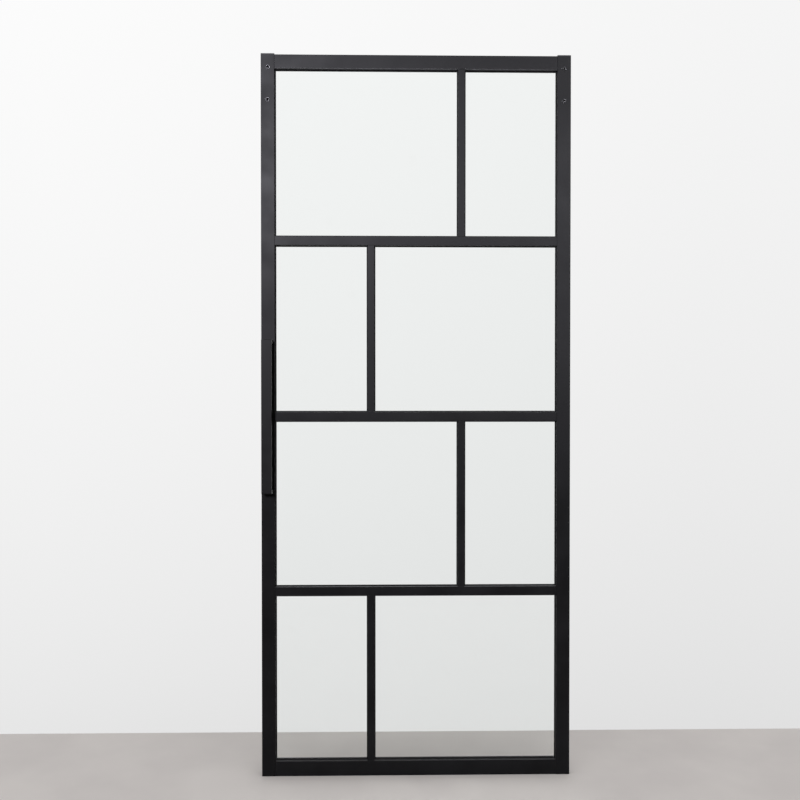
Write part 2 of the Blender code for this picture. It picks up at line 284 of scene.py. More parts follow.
class EdgeWear(Effect):
    """Where hands and packing have rubbed the finish off the arrises."""

    title = "edge_wear"
    inputs = (
        ("Position", "NodeSocketVector", 0.0),
        ("Radius", "NodeSocketFloat", 0.001),
        ("Breakup Size", "NodeSocketFloat", 0.02),
        ("Amount", "NodeSocketFloat", 0.5),
    )
    outputs = ("Mask",)
    samples = 4
    turned: Range = (0.985, 0.80)
    breakup: Range = (0.48, 0.68)
    breakup_detail = 5.0

    @classmethod
    def wire(cls, web: NodeWeb, given: Any) -> Sockets:
        """The turn of the surface within the radius, broken up by noise. See Effect.wire."""
        soft = web.add("ShaderNodeBevel", {"Radius": given["Radius"]}, samples=cls.samples)
        flat = web.add("ShaderNodeNewGeometry")
        normals = {0: soft.outputs["Normal"], 1: flat.outputs["Normal"]}
        facing = web.add("ShaderNodeVectorMath", normals, operation="DOT_PRODUCT").outputs["Value"]
        noise = web.noise(given["Position"], given["Breakup Size"], cls.breakup_detail)
        worn = web.maths("MULTIPLY", web.spread(facing, cls.turned), web.spread(noise, cls.breakup))
        return {"Mask": web.maths("MULTIPLY", worn, given["Amount"])}


class Dust(Effect):
    """A film of dust on what faces up, and a few specks everywhere."""

    title = "settled_dust"
    inputs = (
        ("Position", "NodeSocketVector", 0.0),
        ("Speck Size", "NodeSocketFloat", 0.004),
        ("Amount", "NodeSocketFloat", 0.3),
    )
    outputs = ("Mask",)
    upward: Range = (0.55, 1.0)
    film: Range = (0.0, 0.7)
    film_noise: Range = (0.3, 0.7)
    film_breakup: Range = (0.5, 1.0)
    speck_noise: Range = (0.66, 0.76)
    specks: Range = (0.0, 0.6)
    noise_detail = 4.0

    @classmethod
    def wire(cls, web: NodeWeb, given: Any) -> Sockets:
        """A film where the normal points up, with noise, and sparse specks. See Effect.wire."""
        normal = web.add("ShaderNodeNewGeometry").outputs["Normal"]
        up = web.add("ShaderNodeSeparateXYZ", {0: normal}).outputs["Z"]
        noise = web.noise(given["Position"], given["Speck Size"], cls.noise_detail)
        uneven = web.spread(noise, cls.film_noise, cls.film_breakup)
        film = web.maths("MULTIPLY", web.spread(up, cls.upward, cls.film), uneven)
        both = web.maths("MAXIMUM", film, web.spread(noise, cls.speck_noise, cls.specks))
        return {"Mask": web.maths("MULTIPLY", both, given["Amount"])}


@dataclass(frozen=True)
class Finish:
    """A finish, as one material that every piece with it shares."""

    title: str
    slot: Slot | None

    def material(self) -> bpy.types.Material:
        """The finish's material, made at its first use."""
        found = bpy.data.materials.get(self.title)
        if found:
            return found
        made = bpy.data.materials.new(self.title)
        made.use_nodes = True
        made.node_tree.nodes.clear()
        web = NodeWeb(made.node_tree)
        position = web.add("ShaderNodeTexCoord").outputs["Object"]
        surface = self.surface(web, position)
        web.add("ShaderNodeOutputMaterial", {"Surface": surface})
        return made

    def surface(self, web: NodeWeb, position: bpy.types.NodeSocket) -> bpy.types.NodeSocket:
        """Lays the finish's nodes.

        Args:
            web: The material's tree.
            position: Place on the piece, in metres.

        Returns:
            The shader's output.
        """
        raise NotImplementedError

    def dress(self, piece: bpy.types.Object) -> None:
        """Gives the finish to a piece, all over.

        Args:
            piece: The piece or CAD node.
        """
        piece.data.materials.clear()
        piece.data.materials.append(self.material())


@dataclass(frozen=True)
class OpaqueFinish(Finish):
    """A solid finish with grain, drift of tone, worn arrises and dust."""

    colour: Colour
    patch_colour: Colour
    worn_colour: Colour
    dust_colour: Colour = (0.30, 0.29, 0.27)
    smooth: float = 0.36
    rough: float = 0.46
    metallic: float = 0.0
    specular: float = 0.5
    sheen: float = 0.0
    sheen_rough: float = 0.30
    grain_size: float = 0.0009
    grain_height: float = 0.00003
    grain_strength: float = 0.35
    patch_size: float = 0.12
    wear_radius: float = 0.0010
    wear_breakup: float = 0.018
    wear_amount: float = 0.35
    dust_amount: float = 0.04
    dust_roughness: float = 0.4
    speck_size: float = 0.005
    tone_drift: Range = (0.35, 0.65)
    roughness_drift: Range = (0.30, 0.70)

    def surface(self, web: NodeWeb, position: bpy.types.NodeSocket) -> bpy.types.NodeSocket:
        """Lays the finish's nodes. See Finish.surface."""
        sizes = {"Position": position, "Grain Size": self.grain_size, "Patch Size": self.patch_size}
        grain = Grain.place(web, sizes)
        wear = EdgeWear.place(web, {
            "Position": position,
            "Radius": self.wear_radius,
            "Breakup Size": self.wear_breakup,
            "Amount": self.wear_amount,
        }).outputs["Mask"]
        dust = Dust.place(web, {
            "Position": position,
            "Speck Size": self.speck_size,
            "Amount": self.dust_amount,
        }).outputs["Mask"]
        drift = web.spread(grain.outputs["Patches"], self.tone_drift)
        colour = web.blend(drift, self.colour, self.patch_colour)
        colour = web.blend(wear, colour, self.worn_colour)
        colour = web.blend(dust, colour, self.dust_colour)
        roughness = web.spread(grain.outputs["Patches"], self.roughness_drift, (self.smooth, self.rough))
        roughness = web.maths("ADD", roughness, web.maths("MULTIPLY", dust, self.dust_roughness))
        bump = web.add("ShaderNodeBump", {
            "Strength": self.grain_strength,
            "Distance": self.grain_height,
            "Height": grain.outputs["Height"],
        })
        return web.add("ShaderNodeBsdfPrincipled", {
            "Base Color": colour,
            "Metallic": self.metallic,
            "Roughness": roughness,
            "Specular IOR Level": self.specular,
            "Sheen Weight": self.sheen,
            "Sheen Roughness": self.sheen_rough,
            "Normal": bump.outputs["Normal"],
        }).outputs["BSDF"]


@dataclass(frozen=True)
class ClearGlass(Finish):
    """Clear float glass with its faint green cast and a trace of dust. Lamps shine through it."""

    tint: Colour = (0.972, 0.990, 0.982)
    dust_colour: Colour = (0.80, 0.80, 0.78)
    dust_amount: float = 0.10
    speck_size: float = 0.05
    roughness: float = 0.0
    ior: float = 1.5

    def surface(self, web: NodeWeb, position: bpy.types.NodeSocket) -> bpy.types.NodeSocket:
        """Lays the finish's nodes. See Finish.surface."""
        dust = Dust.place(web, {
            "Position": position,
            "Speck Size": self.speck_size,
            "Amount": self.dust_amount,
        }).outputs["Mask"]
        glass = web.add("ShaderNodeBsdfPrincipled", {
            "Base Color": web.blend(dust, self.tint, self.dust_colour),
            "Metallic": 0.0,
            "Roughness": self.roughness,
            "IOR": self.ior,
            "Transmission Weight": 1.0,
        }).outputs["BSDF"]
        clear = web.add("ShaderNodeBsdfTransparent", {"Color": (*self.tint, 1.0)}).outputs["BSDF"]
        lamp_ray = web.add("ShaderNodeLightPath").outputs["Is Shadow Ray"]
        return web.add("ShaderNodeMixShader", {0: lamp_ray, 1: glass, 2: clear}).outputs["Shader"]


BLACK = (0.0010, 0.0010, 0.0012)
BLACK_PATCH = (0.0019, 0.0019, 0.0022)
COATED_MEMBER = OpaqueFinish(
    title="satin_black_powder_coat",
    slot=Slot.COATED_ALUMINIUM,
    colour=BLACK,
    patch_colour=BLACK_PATCH,
    worn_colour=(0.030, 0.030, 0.032),
    specular=0.115,
    sheen=0.2,
)
# The sides of the uprights shine less at a low angle than the upper and lower sides of the rails.
COATED_UPRIGHT = replace(COATED_MEMBER, title="satin_black_upright_coat", sheen=0.04)
COATED_HANDLE = OpaqueFinish(
    title="satin_black_handle_coat",
    slot=Slot.COATED_STEEL,
    colour=BLACK,
    patch_colour=BLACK_PATCH,
    worn_colour=(0.035, 0.035, 0.037),
    smooth=0.38,
    rough=0.46,
    specular=0.115,
    patch_size=0.05,
    wear_amount=0.4,
)
CLEAR_GLASS = ClearGlass(title="clear_float_glass", slot=Slot.GLASS)
GLAZING_RUBBER = OpaqueFinish(
    title="black_glazing_rubber",
    slot=Slot.RUBBER,
    colour=(0.0016, 0.0016, 0.0016),
    patch_colour=(0.0026, 0.0026, 0.0025),
    worn_colour=(0.020, 0.020, 0.020),
    smooth=0.42,
    rough=0.52,
    specular=0.10,
    grain_size=0.0004,
    grain_height=0.00002,
    patch_size=0.03,
    wear_radius=0.0004,
    dust_amount=0.05,
)
BLACK_PLASTIC = OpaqueFinish(
    title="black_moulded_plastic",
    slot=Slot.PLASTIC,
    colour=(0.0085, 0.0085, 0.0090),
    patch_colour=(0.0110, 0.0110, 0.0115),
    worn_colour=(0.030, 0.030, 0.030),
    smooth=0.48,
    rough=0.58,
    specular=0.35,
    grain_size=0.0005,
    grain_height=0.00004,
    grain_strength=0.5,
    patch_size=0.02,
)
BLACK_ZINC = OpaqueFinish(
    title="black_zinc_plate",
    slot=Slot.ZINC,
    colour=(0.0095, 0.0095, 0.0100),
    patch_colour=(0.0140, 0.0138, 0.0145),
    worn_colour=(0.52, 0.52, 0.52),
    smooth=0.28,
    rough=0.42,
    metallic=1.0,
    grain_size=0.0003,
    grain_height=0.000008,
    patch_size=0.004,
    wear_radius=0.0013,
    wear_breakup=0.002,
    wear_amount=1.0,
    dust_amount=0.05,
    speck_size=0.001,
)
PALE_FLOOR = OpaqueFinish(
    title="pale_floor",
    slot=None,
    colour=(0.65, 0.61, 0.585),
    patch_colour=(0.71, 0.67, 0.64),
    worn_colour=(0.50, 0.50, 0.50),
    smooth=0.50,
    rough=0.62,
    specular=0.3,
    grain_size=0.004,
    grain_height=0.00002,
    patch_size=0.25,
    wear_amount=0.0,
    dust_amount=0.0,
)


def deselect() -> None:
    """Leaves nothing selected and nothing active."""
    for obj in bpy.context.selected_objects:
        obj.select_set(False)
    bpy.context.view_layer.objects.active = None


def pick(*objects: bpy.types.Object) -> None:
    """Selects only these objects, and makes the first one active.

    Args:
        *objects: The objects.
    """
    deselect()
    for obj in objects:
        obj.select_set(True)
    bpy.context.view_layer.objects.active = objects[0]


@contextmanager
def editing(piece: bpy.types.Object, mode: str = "FACE") -> Iterator[None]:
    """Edit mode on one piece, with nothing selected in it.

    Args:
        piece: The piece.
        mode: What is selected, VERT, EDGE or FACE.

    Yields:
        Nothing.
    """
    pick(piece)
    bpy.ops.object.mode_set(mode="EDIT")
    bpy.ops.mesh.select_mode(type=mode)
    bpy.ops.mesh.select_all(action="DESELECT")
    yield
    bpy.ops.object.mode_set(mode="OBJECT")


def choose_faces(test: Callable[[bmesh.types.BMFace], bool]) -> None:
    """Selects the faces that pass a test, and no others, in edit mode.

    Args:
        test: Says of a face whether it is selected.
    """
    mesh = bpy.context.object.data
    shape = bmesh.from_edit_mesh(mesh)
    bpy.ops.mesh.select_all(action="DESELECT")
    for face in shape.faces:
        if test(face):
            face.select_set(True)
    shape.select_flush(True)
    bmesh.update_edit_mesh(mesh)


def choose_edges(test: Callable[[bmesh.types.BMEdge], bool]) -> None:
    """Selects the edges that pass a test, and no others, in edit mode.

    Args:
        test: Says of an edge whether it is selected.
    """
    mesh = bpy.context.object.data
    shape = bmesh.from_edit_mesh(mesh)
    bpy.ops.mesh.select_all(action="DESELECT")
    for edge in shape.edges:
        if test(edge):
            edge.select_set(True)
    bmesh.update_edit_mesh(mesh)


def settle(piece: bpy.types.Object, place: Matrix) -> None:
    """Moves a piece to its place and puts that place into its mesh.

    Args:
        piece: The piece.
        place: Where it goes, from where it was modelled.
    """
    pick(piece)
    piece.matrix_world = place @ piece.matrix_world
    bpy.ops.object.transform_apply(location=True, rotation=True, scale=True)


def own_copy(piece: bpy.types.Object, name: str, place: Matrix) -> bpy.types.Object:
    """A copy with its own mesh, moved from where the piece is.

    Args:
        piece: The piece that is copied.
        name: The copy's name.
        place: The copy's place, from the piece's own.

    Returns:
        The copy.
    """
    twin = piece.copy()
    twin.data = piece.data.copy()
    twin.name = name
    twin.data.name = name
    bpy.context.scene.collection.objects.link(twin)
    settle(twin, place)
    return twin


def join(name: str, *pieces: bpy.types.Object) -> bpy.types.Object:
    """Joins pieces into one object, whose shells stay apart.

    Args:
        name: The joined piece's name.
        *pieces: The pieces.

    Returns:
        The joined piece.
    """
    pick(*pieces)
    bpy.ops.object.join()
    joined = bpy.context.object
    joined.name = name
    joined.data.name = name
    return joined


def cylinder(sides: int, radius: float, top: float, bottom: float) -> bpy.types.Object:
    """Models an upright cylinder round the Z axis.

    Args:
        sides: How many sides it has.
        radius: Its radius.
        top: Height of its upper end.
        bottom: Height of its lower end.

    Returns:
        The cylinder.
    """
    depth = top - bottom
    centre = (0, 0, (top + bottom) / 2)
    bpy.ops.mesh.primitive_cylinder_add(vertices=sides, radius=radius, depth=depth, location=centre)
    piece = bpy.context.object
    settle(piece, Matrix())
    return piece


def draw_down(radius: float, height: float, steps: Iterable[tuple[float, float]]) -> None:
    """Extrudes the lowest face downwards in steps, in edit mode.

    Args:
        radius: The face's radius.
        height: The face's height.
        steps: The radius and the height that each step ends at.
    """
    for next_radius, next_height in steps:
        floor = height + NEAR
        choose_faces(lambda face, at=floor: face.normal.z < -FACING and face.calc_center_median().z < at)
        bpy.ops.mesh.extrude_region_move(TRANSFORM_OT_translate={"value": (0, 0, next_height - height)})
        share = next_radius / radius
        bpy.ops.transform.resize(value=(share, share, 1), center_override=(0, 0, next_height))
        radius, height = next_radius, next_height


def carve(piece: bpy.types.Object, cutter: bpy.types.Object) -> None:
    """Cuts one piece out of another, and removes the cutter.

    Args:
        piece: The piece that keeps the rest.
        cutter: The shape of the hollow.
    """
    pick(piece)
    bpy.ops.object.modifier_add(type="BOOLEAN")
    hollow = piece.modifiers[-1]
    hollow.operation = "DIFFERENCE"
    hollow.solver = "EXACT"
    hollow.object = cutter
    bpy.ops.object.modifier_apply(modifier=hollow.name)
    bpy.data.objects.remove(cutter, do_unlink=True)


def smooth(piece: bpy.types.Object, angle: float = SHARP) -> None:
    """Shades round stretches smooth and keeps flat faces flat.

    Args:
        piece: The piece.
        angle: Edges that turn by more stay sharp.
    """
    pick(piece)
    bpy.ops.object.shade_smooth_by_angle(angle=angle)
    bpy.ops.object.modifier_add(type="WEIGHTED_NORMAL")
    weighted = piece.modifiers[-1]
    weighted.keep_sharp = True
    bpy.ops.object.modifier_apply(modifier=weighted.name)


def hand_over(piece: bpy.types.Object, finish: Finish, *nodes: str) -> bpy.types.Object:
    """Dresses a finished piece, lets it stand for CAD nodes, and puts it on the leaf.

    Args:
        piece: The piece.
        finish: Its finish.
        *nodes: The CAD nodes that it stands for.

    Returns:
        The piece.
    """
    finish.dress(piece)
    if nodes:
        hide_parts(*nodes)
    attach(piece, BODY)
    return piece


def middle(node: str) -> Vector:
    """The middle of a CAD node's box."""
    low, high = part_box(node)
    return (low + high) / 2


@dataclass
class Member:
    """A CAD node whose loose facets are sewn into one smooth skin, and then finished."""

    node: str
    finish: Finish
    suffix: str = "coated"
    weld: float = NEAR

    def build(self) -> bpy.types.Object:
        """Sews, smooths and dresses the member, and returns it."""
        name = f"{self.node}_{self.suffix}"
        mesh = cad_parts[self.node].data.copy()
        mesh.name = name
        piece = bpy.data.objects.new(name, mesh)
        bpy.context.scene.collection.objects.link(piece)
        with editing(piece):
            bpy.ops.mesh.customdata_custom_splitnormals_clear()
            bpy.ops.mesh.select_all(action="SELECT")
            bpy.ops.mesh.remove_doubles(threshold=self.weld)
        smooth(piece)
        return hand_over(piece, self.finish, self.node)


@dataclass
class CoatedFrame:
    """The frame: two stiles, the rails between them and the short muntins."""

    rails: tuple[str, ...] = (
        "top_rail",
        "upper_cross_rail",
        "middle_cross_rail",
        "lower_cross_rail",
        "bottom_rail",
    )
    muntins: tuple[str, ...] = ("top_muntin", "upper_muntin", "lower_muntin", "bottom_muntin")

    def build(self) -> list[bpy.types.Object]:
        """Coats every member.

        Returns:
            The coated members.
        """
        stiles = tuple(f"{side.word}_stile" for side in Side)
        uprights = [Member(node, COATED_UPRIGHT).build() for node in stiles + self.muntins]
        return uprights + [Member(node, COATED_MEMBER).build() for node in self.rails]


@dataclass
class StileEnds:
    """The moulded caps on the stiles and the plugs in their feet."""

    parts: tuple[str, ...] = ("cap", "foot_plug")

    def build(self) -> list[bpy.types.Object]:
        """Finishes the caps and plugs.

        Returns:
            The four pieces.
        """
        nodes = [f"{side.word}_stile_{part}" for side in Side for part in self.parts]
        return [Member(node, BLACK_PLASTIC, "moulded").build() for node in nodes]


@dataclass
class PullHandle:
    """The flat-bar handle and its two screws from behind."""

    screws: tuple[str, ...] = ("handle_screw_lower", "handle_screw_upper")

    def build(self) -> list[bpy.types.Object]:
        """Coats the handle and plates its screws.

        Returns:
            The handle and the screws.
        """
        handle = Member("pull_handle", COATED_HANDLE).build()
        return [handle] + [Member(node, BLACK_ZINC, "plated").build() for node in self.screws]


@dataclass
class Glazing:
    """Eight panes, each in a rubber channel laid round it in four mitred lengths."""

    rows: tuple[str, ...] = ("top", "upper", "lower", "bottom")
    tuck: float = 0.0057
    web: float = 0.0010
    lip_proud: float = 0.0030
    lip_edge: float = 0.0010
    lip_edge_segments: int = 4
    lip_nose: float = 0.0004
    lip_nose_segments: int = 2
    play: float = 0.00003
    mitre_gap: float = 0.00012

    def build(self) -> list[bpy.types.Object]:
        """Dresses the panes and lays the gaskets.

        Returns:
            The panes and the gaskets.
        """
        pieces = []
        for row in self.rows:
            for side in Side:
                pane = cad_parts[f"{row}_{side.word}_pane"]
                CLEAR_GLASS.dress(pane)
                pieces += [pane, self._gasket(f"{row}_{side.word}")]
        return pieces

    def _gasket(self, name: str) -> bpy.types.Object:
        """Lays the four lengths of one pane's gasket.

        Args:
            name: The pane's row and side.

        Returns:
            The gasket.
        """
        low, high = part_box(f"{name}_gasket")
        glass_low, glass_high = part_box(f"{name}_pane")
        centre = (low + high) / 2
        size = high - low
        groove = (glass_high - glass_low).y / 2 + self.play
        lengths = []
        for turn in range(4):
            along, across = (size.x, size.z) if turn % 2 == 0 else (size.z, size.x)
            length = self._length(f"{name}_length_{turn}", along, size.y, groove)
            down = Matrix.Translation((0, 0, -across / 2))
            round_pane = Matrix.Rotation(turn * QUARTER_TURN, 4, "Y")
            settle(length, Matrix.Translation(centre) @ round_pane @ down)
            lengths.append(length)
        gasket = join(f"{name}_gasket_laid", *lengths)
        smooth(gasket)
        return hand_over(gasket, GLAZING_RUBBER, f"{name}_gasket")

    def _length(self, name: str, along: float, thick: float, groove: float) -> bpy.types.Object:
        """Models one length: a bar with a slot for the glass, eased lips and mitred ends.

        Args:
            name: Its name.
            along: Its length over the mitres.
            thick: Its thickness over both lips.
            groove: Half the slot's width.

        Returns:
            The length, lying along X, with its web at z 0 and its lips up.
        """
        rise = self.tuck + self.lip_proud
        bpy.ops.mesh.primitive_cube_add(size=1, location=(0, 0, rise / 2), scale=(along, thick, rise))
        bar = bpy.context.object
        bar.name = name
        bar.data.name = name
        settle(bar, Matrix())
        with editing(bar):
            for side in Side:
                bpy.ops.mesh.select_all(action="SELECT")
                bpy.ops.mesh.bisect(plane_co=(0, side.value * groove, 0), plane_no=(0, 1, 0))
            choose_faces(lambda face: self._over_glass(face, groove))
            bpy.ops.mesh.extrude_region_move(TRANSFORM_OT_translate={"value": (0, 0, self.web - rise)})
            choose_edges(lambda edge: self._along_lip(edge, thick / 2, rise))
            bpy.ops.mesh.bevel(offset=self.lip_edge, segments=self.lip_edge_segments, affect="EDGES")
            choose_edges(lambda edge: self._along_lip(edge, groove, rise))
            bpy.ops.mesh.bevel(offset=self.lip_nose, segments=self.lip_nose_segments, affect="EDGES")
            for side in Side:
                bpy.ops.mesh.select_all(action="SELECT")
                end = side.value * (along / 2 - self.mitre_gap)
                cut = {"plane_co": (end, 0, 0), "plane_no": (side.value, 0, 1)}
                bpy.ops.mesh.bisect(**cut, use_fill=True, clear_outer=True)
            bpy.ops.mesh.select_all(action="SELECT")
            bpy.ops.mesh.normals_make_consistent(inside=False)
        return bar

    @staticmethod
    def _over_glass(face: bmesh.types.BMFace, groove: float) -> bool:
        """True if the face is the upper one between the two lips."""
        return face.normal.z > FACING and abs(face.calc_center_median().y) < groove

    @staticmethod
    def _along_lip(edge: bmesh.types.BMEdge, side: float, rise: float) -> bool:
        """True if both ends of the edge are that far to either side and at the lips' height."""
        ends = (vert.co for vert in edge.verts)
        return all(abs(abs(end.y) - side) < NEAR and abs(end.z - rise) < NEAR for end in ends)


@dataclass
class HangerInserts:
    """The threaded inserts in the stiles, which take the bolts of the strap hangers."""

    ends: tuple[str, ...] = ("lower", "upper")
    sides: int = 48
    flange: float = 0.0012
    flange_edge: float = 0.0004
    flange_segments: int = 3
    body_radius: float = 0.0050
    bulge_start: float = 0.0034
    bulge_full: float = 0.0044
    bulge_wane: float = 0.0054
    bulge_end: float = 0.0074
    thread_root: float = 0.0040
    thread_crest: float = 0.0034
    thread_sunk: float = 0.0001
    thread_pitch: float = 0.00125
    thread_steps: int = 32
    lead_in: float = 0.0007
    mouth_segments: int = 2
    mouth_tolerance: float = 1e-5

    def build(self) -> list[bpy.types.Object]:
        """Turns one insert, threads it, and sets a copy in each place.

        Returns:
            The four inserts.
        """
        nodes = [f"{side.word}_hanger_insert_{end}" for side in Side for end in self.ends]
        low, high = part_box(nodes[0])
        master = self._insert((high.x - low.x) / 2, high.y - low.y)
        facing_front = Matrix.Rotation(QUARTER_TURN, 4, "X")
        pieces = []
        for number, node in enumerate(nodes):
            front = middle(node)
            front.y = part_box(node)[0].y
            turned = Matrix.Rotation(number * TIGHTENED, 4, "Z")
            place = Matrix.Translation(front) @ facing_front @ turned
            pieces.append(hand_over(own_copy(master, f"{node}_threaded", place), BLACK_ZINC, node))
        bpy.data.objects.remove(master, do_unlink=True)
        return pieces

    def _insert(self, flange_radius: float, length: float) -> bpy.types.Object:
        """Models an insert whose flange is at z 0 and whose body reaches down to -length.

        Args:
            flange_radius: Its widest radius.
            length: Its overall length.

        Returns:
            The insert.
        """
        body = cylinder(self.sides, flange_radius, 0.0, -self.flange)
        steps = (
            (self.body_radius, -self.flange),
            (self.body_radius, -self.bulge_start),
            (flange_radius, -self.bulge_full),
            (flange_radius, -self.bulge_wane),
            (self.body_radius, -self.bulge_end),
            (self.body_radius, -length + self.flange_edge),
            (self.body_radius - self.flange_edge, -length),
        )
        with editing(body):
            draw_down(flange_radius, -self.flange, steps)
            choose_faces(lambda face: face.normal.z > FACING)
            bpy.ops.mesh.bevel(offset=self.flange_edge, segments=self.flange_segments, affect="EDGES")
        bore = cylinder(self.sides, self.thread_root, length, -2 * length)
        carve(body, bore)
        with editing(body, "EDGE"):
            choose_edges(self._at_mouth)
            bpy.ops.mesh.bevel(offset=self.lead_in / 2, segments=self.mouth_segments, affect="EDGES")
        insert = join("hanger_insert", body, self._thread(length))
        smooth(insert, SHARP_ON_TURNED)
        return insert

    def _at_mouth(self, edge: bmesh.types.BMEdge) -> bool:
        """True if the edge is on the rim of the bore in the flange's front."""
        off_rim = (abs(vert.co.xy.length - self.thread_root) for vert in edge.verts)
        return max(off_rim) < self.mouth_tolerance and all(abs(vert.co.z) < NEAR for vert in edge.verts)

    def _thread(self, length: float) -> bpy.types.Object:
        """Winds the thread's ridge down the bore.

        Args:
            length: The insert's length.

        Returns:
            The ridge.
        """
        foot = self.thread_root + self.thread_sunk
        # The section is an equal-sided triangle, whose middle is a third of its height above its foot.
        third = (foot - self.thread_crest) / 3
        bpy.ops.mesh.primitive_circle_add(vertices=3, radius=2 * third, rotation=(QUARTER_TURN, 0, 0))
        ridge = bpy.context.object
        ridge.name = "thread"
        tip_in = Matrix.Rotation(-QUARTER_TURN, 4, "Y")
        first = -self.lead_in - self.thread_pitch / 2
        settle(ridge, Matrix.Translation((foot - third, 0, first)) @ tip_in)
        turns = int((length + first - self.lead_in) / self.thread_pitch)
        pick(ridge)
        bpy.ops.object.modifier_add(type="SCREW")
        screw = ridge.modifiers[-1]
        screw.axis = "Z"
        screw.angle = FULL_TURN
        screw.screw_offset = -self.thread_pitch
        screw.iterations = turns
        screw.steps = self.thread_steps
        screw.render_steps = self.thread_steps
        bpy.ops.object.modifier_apply(modifier=screw.name)
        with editing(ridge, "VERT"):
            bpy.ops.mesh.select_all(action="SELECT")
            bpy.ops.mesh.fill_holes(sides=3)
            bpy.ops.mesh.select_all(action="SELECT")
            bpy.ops.mesh.normals_make_consistent(inside=False)
        return ridge


@dataclass
class FrameScrews:
    """The countersunk screws in the stiles' outer edges, one at each end of each rail."""

    head_radius: float = 0.0050
    head_land: float = 0.0002
    shank_radius: float = 0.0025
    tip_radius: float = 0.0020
    length: float = 0.038
    sink: float = 0.00015
    socket_radius: float = 0.00172
    socket_depth: float = 0.0019
    socket_sides: int = 6
    sides: int = 40

    def build(self) -> list[bpy.types.Object]:
        """Models one screw and sets a copy in each hole.

        Returns:
            The ten screws.
        """
        master = self._screw()
        pieces = []
        for side in Side:
            low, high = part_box(f"{side.word}_stile")
            outer = (low if side is Side.LEFT else high).x - side.value * self.sink
            facing_out = Matrix.Rotation(side.value * QUARTER_TURN, 4, "Y")
            for number, rail in enumerate(CoatedFrame.rails):
                hole = Vector((outer, (low.y + high.y) / 2, middle(rail).z))
                turned = Matrix.Rotation(number * side.value * TIGHTENED, 4, "Z")
                place = Matrix.Translation(hole) @ facing_out @ turned
                name = f"{side.word}_frame_screw_{rail.removesuffix('_rail')}"
                pieces.append(hand_over(own_copy(master, name, place), BLACK_ZINC))
        bpy.data.objects.remove(master, do_unlink=True)
        return pieces

    def _screw(self) -> bpy.types.Object:
        """Models a screw whose head is flush with z 0 and whose shank points down.

        Returns:
            The screw.
        """
        screw = cylinder(self.sides, self.head_radius, 0.0, -self.head_land)
        screw.name = "frame_screw"
        # The head and the tip slope at 45 degrees.
        steps = (
            (self.shank_radius, -self.head_land - self.head_radius + self.shank_radius),
            (self.shank_radius, -self.length + self.shank_radius - self.tip_radius),
            (self.tip_radius, -self.length),
        )
        with editing(screw):
            draw_down(self.head_radius, -self.head_land, steps)
        socket = cylinder(self.socket_sides, self.socket_radius, self.socket_depth, -self.socket_depth)
        carve(screw, socket)
        smooth(screw, SHARP_ON_TURNED)
        return screw


class Reach(Enum):
    """Whether a lamp shines on a choice of pieces alone, or on all the others."""

    ONLY = "INCLUDE"
    ALL_BUT = "EXCLUDE"


@dataclass(frozen=True)
class Softbox:
    """A rectangular lamp that faces the leaf's middle."""

    title: str
    bearing_deg: float
    elevation_deg: float
    distance: float
    width: float
    height: float
    power: float
    colour: Colour

    def hang(self, target: Vector, reach: Reach, pieces: list[bpy.types.Object]) -> None:
        """Hangs the lamp, which doesn't show.

        Args:
            target: The point that it faces.
            reach: Whether it shines on the pieces alone, or on all the others.
            pieces: The pieces.
        """
        bearing, elevation = math.radians(self.bearing_deg), math.radians(self.elevation_deg)
        level = math.cos(elevation)
        away = Vector((math.sin(bearing) * level, -math.cos(bearing) * level, math.sin(elevation)))
        light = bpy.data.lights.new(self.title, "AREA")
        light.shape = "RECTANGLE"
        light.size = self.width
        light.size_y = self.height
        light.energy = self.power
        light.color = self.colour
        lamp = bpy.data.objects.new(self.title, light)
        lamp.location = target + away * self.distance
        lamp.rotation_euler = (-away).to_track_quat("-Z", "Y").to_euler()
        lamp.visible_camera = False
        lamp.visible_transmission = False
        bpy.context.scene.collection.objects.link(lamp)
        choice = bpy.data.collections.new(f"{self.title}_choice")
        lamp.light_linking.receiver_collection = choice
        for piece in pieces:
            choice.objects.link(piece)
        for entry in choice.collection_objects:
            entry.light_linking.link_state = reach.value


KEY = Softbox(
    title="key_softbox",
    bearing_deg=-13.0,
    elevation_deg=18.0,
    distance=12.0,
    width=1.4,
    height=2.0,
    power=1410.0,
    colour=(0.92, 0.905, 1.0),
)
FILL = Softbox(
    title="fill_softbox",
    bearing_deg=20.0,
    elevation_deg=14.5,
    distance=9.0,
    width=2.4,
    height=3.4,
    power=415.0,
    colour=(0.93, 0.92, 1.0),
)
BOUNCE = Softbox(
    title="bounce_card",
    bearing_deg=0.0,
    elevation_deg=-80.0,
    distance=1.0,
    width=1.6,
    height=0.2,
    power=340.0,
    colour=(0.93, 0.92, 1.0),
)


